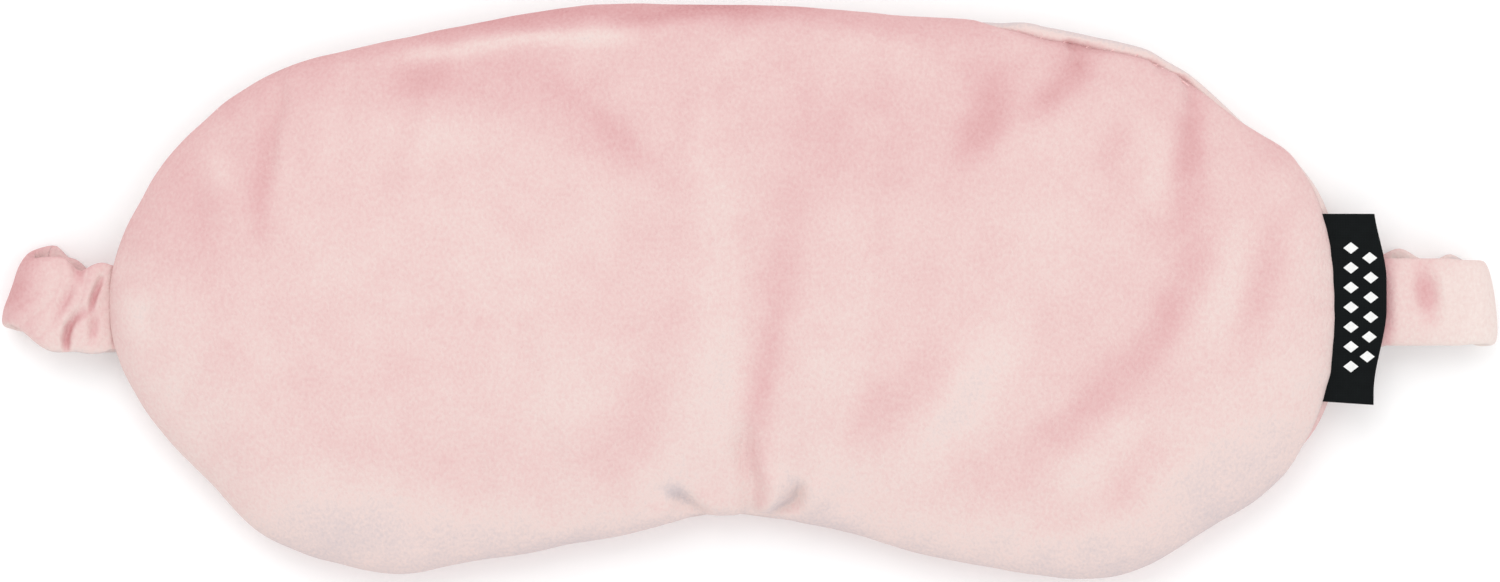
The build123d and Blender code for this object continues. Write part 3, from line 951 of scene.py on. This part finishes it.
def label_motif():
    """Small woven diamonds in two columns down the label. The outer one follows its curved edge."""
    parts = []
    low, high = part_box("label_motif")
    inner, outer = low.x + DIAMOND_WIDE, high.x - DIAMOND_WIDE
    for x, count, follows in ((inner, 7, 0.0), (outer, 6, 0.45)):
        first = LABEL_MIDDLE - (count - 1) * DIAMOND_PITCH / 2
        for k in range(count):
            y = first + k * DIAMOND_PITCH
            drawn_back = (LABEL_HIGH.x - float(label_reach(y))) * follows
            parts.append(diamond(x - drawn_back, y))
    made = many("label_diamonds", parts)
    crisp(made, 40)
    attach(made, "label")
    return made


def diamond(x, y):
    """Eight points round a diamond and one in its middle, on its top and on its underside."""
    corners = [(1, 0), (0.5, 0.5), (0, 1), (-0.5, 0.5)]
    corners += [(-u, -v) for u, v in corners] + [(0, 0)]
    places = np.array([(x + u * DIAMOND_WIDE, y + v * DIAMOND_HIGH) for u, v in corners])
    height = label_height(*places.T)
    top = np.column_stack([places, height + 0.00010])
    bottom = np.column_stack([places, height - 0.00006])
    faces = []
    for i in range(8):
        j = (i + 1) % 8
        faces.append((i, j, 8))
        faces.append((j + 9, i + 9, 17))
        faces.append((j, i, i + 9, j + 9))
    return np.vstack([top, bottom]), faces


# ---- materials ----------------------------------------------------------------------------------
def material(name, roughness, sheen=0.0, specular=0.5):
    made = bpy.data.materials.new(name)
    made.use_nodes = True
    shader = made.node_tree.nodes["Principled BSDF"]
    shader.inputs["Roughness"].default_value = roughness
    shader.inputs["Sheen Weight"].default_value = sheen
    shader.inputs["Sheen Roughness"].default_value = 0.5
    shader.inputs["Specular IOR Level"].default_value = specular
    return made, shader


def node(tree, kind, **values):
    made = tree.nodes.new(kind)
    for key, value in values.items():
        setattr(made, key, value)
    return made


def noise(tree, source, scale, stretch=(1, 1, 1), detail=3.0):
    """Noise over the piece's own coordinates, as an output from 0 to 1."""
    place = node(tree, "ShaderNodeMapping")
    place.inputs["Scale"].default_value = stretch
    tree.links.new(source, place.inputs["Vector"])
    made = node(tree, "ShaderNodeTexNoise")
    made.inputs["Scale"].default_value = scale
    made.inputs["Detail"].default_value = detail
    tree.links.new(place.outputs["Vector"], made.inputs["Vector"])
    return made.outputs["Fac"]


def value(tree, operation, a, b):
    """One sum of two outputs or numbers."""
    made = node(tree, "ShaderNodeMath", operation=operation)
    for socket, source in zip(made.inputs, (a, b)):
        if isinstance(source, (int, float)):
            socket.default_value = source
        else:
            tree.links.new(source, socket)
    return made.outputs["Value"]


def plus(tree, a, b):
    return value(tree, "ADD", a, b)


def times(tree, a, b):
    return value(tree, "MULTIPLY", a, b)


def ramp(tree, source, stops):
    """Colours along a value from 0 to 1, with even steps between them."""
    made = node(tree, "ShaderNodeValToRGB")
    while len(made.color_ramp.elements) < len(stops):
        made.color_ramp.elements.new(0.5)
    for element, (place, colour) in zip(made.color_ramp.elements, stops):
        element.position = place
        element.color = (*colour, 1)
    tree.links.new(source, made.inputs["Fac"])
    return made.outputs["Color"]


def relief(tree, shader, height, distance, strength=1.0):
    made = node(tree, "ShaderNodeBump")
    made.inputs["Distance"].default_value = distance
    made.inputs["Strength"].default_value = strength
    tree.links.new(height, made.inputs["Height"])
    tree.links.new(made.outputs["Normal"], shader.inputs["Normal"])


def colour(*channels):
    """A colour given as it looks on screen, from 0 to 255, as the light values that it stands for."""
    return tuple((c / 255 / 12.92) if c < 10 else ((c / 255 + 0.055) / 1.055) ** 2.4 for c in channels)


def dyed(*channels):
    """The colour of the pile itself, a little darker than it looks under the studio's strong light."""
    return tuple(0.835 * c for c in colour(*channels))


# the pile's colours; the first is painted shade, for the deepest folds and creases
FOLD_SHADE_PINK = dyed(188, 124, 128)
DEEP_PINK = dyed(217, 160, 162)
ROSE = dyed(230, 186, 186)
PINK = dyed(237, 205, 202)
PALE_PINK = dyed(240, 218, 213)
# the silvery tone of the nap, and also painted shade at the lower edges and in hollows
SILVER_SHADE_PINK = dyed(219, 205, 206)
CREAM_PINK = dyed(246, 232, 226)


def velvet(name, nap_shade, level=0.0, shade_toward=(-0.30, 0.95, 0), lowest=SILVER_SHADE_PINK):
    """Short pile, with the way its surface faces painted into its colour: deeper pink as painted shade
    where it faces up and away, paler as painted sheen where it faces down, and at the lower edges the
    lowest colour."""
    made, shader = material(name, 0.95, sheen=0.12, specular=0.1)
    tree = made.node_tree
    place = node(tree, "ShaderNodeTexCoord")
    # painted shade and painted sheen from the direction the surface faces
    facing_shade = node(tree, "ShaderNodeVectorMath", operation="DOT_PRODUCT")
    facing_shade.inputs[1].default_value = shade_toward
    tree.links.new(place.outputs["Normal"], facing_shade.inputs[0])
    total = plus(tree, times(tree, facing_shade.outputs["Value"], 0.34), 0.40 + level)
    if nap_shade:
        # the stored nap with its painted shade and painted highlights
        nap_and_shade = node(tree, "ShaderNodeAttribute", attribute_name="nap_and_shade")
        total = plus(tree, total, times(tree, nap_and_shade.outputs["Fac"], 0.36))
    mottle = noise(tree, place.outputs["Object"], 160, detail=4)
    grain = noise(tree, place.outputs["Object"], 1900, (1, 0.75, 1))
    for uneven, strength in ((mottle, 0.16), (grain, 0.42)):
        total = plus(tree, total, times(tree, plus(tree, uneven, -0.5), strength))
    total = times(tree, total, 0.8)
    stops = [(0.0, lowest), (0.19, PALE_PINK), (0.34, PINK)]
    stops += [(0.54, ROSE), (0.8, DEEP_PINK), (1.0, FOLD_SHADE_PINK)]
    tree.links.new(ramp(tree, total, stops), shader.inputs["Base Color"])
    shader.inputs["Sheen Tint"].default_value = (*colour(250, 228, 224), 1)
    relief(tree, shader, grain, 0.00022, 0.7)
    return made


def grained(name, dark, light, scale, roughness, depth):
    """A fibre material: two colours mixed by noise, with the same noise as relief."""
    made, shader = material(name, roughness, specular=0.3)
    tree = made.node_tree
    place = node(tree, "ShaderNodeTexCoord").outputs["Object"]
    fine = noise(tree, place, scale, detail=4)
    stops = [(0.3, colour(*dark)), (0.7, colour(*light))]
    tree.links.new(ramp(tree, fine, stops), shader.inputs["Base Color"])
    relief(tree, shader, fine, depth)
    return made


def woven(name, dark, light, pitch, roughness, depth, specular=0.3):
    """A plain weave: threads both ways at an even pitch, with some unevenness."""
    made, shader = material(name, roughness, specular=specular)
    tree = made.node_tree
    place = node(tree, "ShaderNodeTexCoord").outputs["Object"]
    waves = []
    for axis in ("X", "Y"):
        wave = node(tree, "ShaderNodeTexWave", bands_direction=axis)
        wave.inputs["Scale"].default_value = math.pi / 10 / pitch
        wave.inputs["Distortion"].default_value = 0.6
        wave.inputs["Detail"].default_value = 2
        tree.links.new(place, wave.inputs["Vector"])
        waves.append(wave.outputs["Fac"])
    weave = value(tree, "MAXIMUM", waves[0], waves[1])
    uneven = times(tree, noise(tree, place, 700), 0.5)
    total = plus(tree, times(tree, weave, 0.6), uneven)
    stops = [(0.2, colour(*dark)), (0.9, colour(*light))]
    tree.links.new(ramp(tree, total, stops), shader.inputs["Base Color"])
    relief(tree, shader, total, depth)
    return made


def dress(piece, finish):
    piece.data.materials.clear()
    piece.data.materials.append(finish)


def settled_body():
    """The body after its padding has filled it and it has been laid down."""
    base = Body()
    grip = 1 - ease((np.abs(base.turn) - math.radians(14)) / math.radians(30))
    held = np.concatenate([grip, np.zeros(len(base.points) - len(grip))])
    held[:COLUMNS] = 1
    base.points = simulate(base.points, base.faces(), held)
    base.points = lie_down(base.points)
    base.normals = normals_of(base.points, base.faces())
    return base


def build_body():
    """The two covers and their wadding, and the line of the seam."""
    base = settled_body()
    points, front, back = finer(base.points, base.front_faces, base.back_faces)
    on_front, on_back = np.zeros((2, len(points)), bool)
    on_front[np.unique([k for face in front for k in face])] = True
    on_back[np.unique([k for face in back for k in face])] = True
    normals = normals_of(points, front + back)
    points[on_front] = fold_front(points[on_front], normals[on_front])
    order = np.flatnonzero(on_front & on_back)
    turn = np.arctan2(points[order, 1] - CENTRE.y, points[order, 0] - CENTRE.x)
    order = order[np.argsort(turn)]
    points = gather_seam(points, normals_of(points, front + back), points[order])
    points = lie_down(points)
    normals = normals_of(points, front + back)
    front_cover = shell("velvet_front", points, front, normals, VELVET)
    back_cover = shell("velvet_back", points, back, normals, VELVET)
    store_nap_and_shade(front_cover, nap_and_shade_of(coordinates(front_cover.data)[:, :2]))
    front_pad = wadding("wadding_front", False, base)
    back_pad = wadding("wadding_back", True, base)
    pieces = (front_cover, back_cover, front_pad, back_pad)
    for piece, name in zip(pieces, ("front_cover", "back_cover", "front_wadding", "back_wadding")):
        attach(piece, "mask")
        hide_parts(name)
    return *pieces, points[order]


# ---- stage, light and camera --------------------------------------------------------------------
def stage():
    bpy.ops.mesh.primitive_plane_add(size=3)
    floor = bpy.context.object
    floor.name = "floor"
    paper, shader = material("paper", 0.9, specular=0.1)
    shader.inputs["Base Color"].default_value = (0.95, 0.95, 0.95, 1)
    floor.data.materials.append(paper)


def soft_light(name, place, size, power):
    lamp = bpy.data.lights.new(name, "AREA")
    lamp.size = size
    lamp.energy = power
    made = bpy.data.objects.new(name, lamp)
    made.location = place
    made.rotation_euler = (-Vector(place)).to_track_quat("-Z", "Y").to_euler()
    bpy.context.scene.collection.objects.link(made)


KEY_POWER = 4.4
FILL_POWER = 2.8
WORLD_LIGHT = 0.96


def studio():
    """Even white light from above, a little stronger from the forehead side."""
    soft_light("key", (-0.25, 0.7, 1.1), 0.9, KEY_POWER)
    soft_light("fill", (0.5, -0.5, 1.0), 1.4, FILL_POWER)
    world = bpy.data.worlds.new("studio")
    world.use_nodes = True
    sky = world.node_tree.nodes["Background"].inputs
    sky["Color"].default_value = (1, 1, 1, 1)
    sky["Strength"].default_value = WORLD_LIGHT
    bpy.context.scene.world = world
    bpy.context.scene.view_settings.view_transform = "Standard"


def camera():
    """Straight down on the middle of the object, far enough off to fit its width."""
    lens = bpy.data.cameras.new("camera")
    lens.lens = 100
    lens.sensor_width = 36
    made = bpy.data.objects.new("camera", lens)
    frame_width = STRAP_HIGH.x - STRAP_LOW.x + 0.0006
    made.location = (0, 0, SEAM_Z + frame_width * lens.lens / lens.sensor_width)
    bpy.context.scene.collection.objects.link(made)
    bpy.context.scene.camera = made


front_cover, back_cover, front_pad, back_pad, seam = build_body()
lining = lining_sheet()
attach(lining, "mask")
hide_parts("blackout_lining")
turns = [strap_turn(-1), strap_turn(1)]
run_cover, run_elastic = back_run()
for (cover, elastic), word in zip(turns, ("left", "right")):
    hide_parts(f"strap_tail_{word}")
    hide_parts(f"elastic_tail_{word}")
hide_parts("strap_cover")
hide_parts("strap_elastic")
edge_thread = strap_stitches()
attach(edge_thread, "strap")
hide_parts("strap_seam_thread")
closing = closing_seam(seam)
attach(closing, "mask")
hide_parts("closing_stitches")
label, motif = side_label(), label_motif()
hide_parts("side_label")
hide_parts("label_motif")

front_velvet = velvet("front_velvet", True)
plain_velvet = velvet("plain_velvet", False, -0.06, (0.25, -0.97, 0))
strap_velvet = velvet("strap_velvet", True, 0.02)
pale_velvet = velvet("pale_velvet", True, -0.09, (-0.12, 0.42, 0), CREAM_PINK)
fluff = grained("wadding", (214, 210, 204), (246, 244, 240), 900, 0.95, 0.0004)
blackout = woven("blackout", (14, 14, 16), (44, 44, 48), 0.0005, 0.8, 0.00008)
elastic_knit = woven("elastic_knit", (205, 200, 196), (243, 240, 236), 0.0008, 0.7, 0.00015)
pink_thread = grained("pink_thread", (214, 168, 168), (238, 204, 202), 2500, 0.6, 0.00003)
satin = woven("label_satin", (3, 5, 6), (15, 19, 20), 0.00028, 0.75, 0.00004, 0.1)
yarn = woven("label_yarn", (196, 198, 198), (242, 242, 240), 0.00022, 0.75, 0.00004)

dress(front_cover, front_velvet)
dress(back_cover, plain_velvet)
for piece in (front_pad, back_pad):
    dress(piece, fluff)
dress(lining, blackout)
for cover, elastic in [*turns, (run_cover, run_elastic)]:
    dress(cover, pale_velvet if cover.name == "strap_turn_right" else strap_velvet)
    dress(elastic, elastic_knit)
for piece in (edge_thread, closing):
    dress(piece, pink_thread)
dress(label, satin)
dress(motif, yarn)
# the CAD's own nodes, which the looks keep
for name in ("seam_needle_thread", "seam_bobbin_thread", "strap_tack_left", "strap_tack_right"):
    dress(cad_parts[name], pink_thread)
dress(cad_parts["label_tail"], satin)

stage()
studio()
camera()
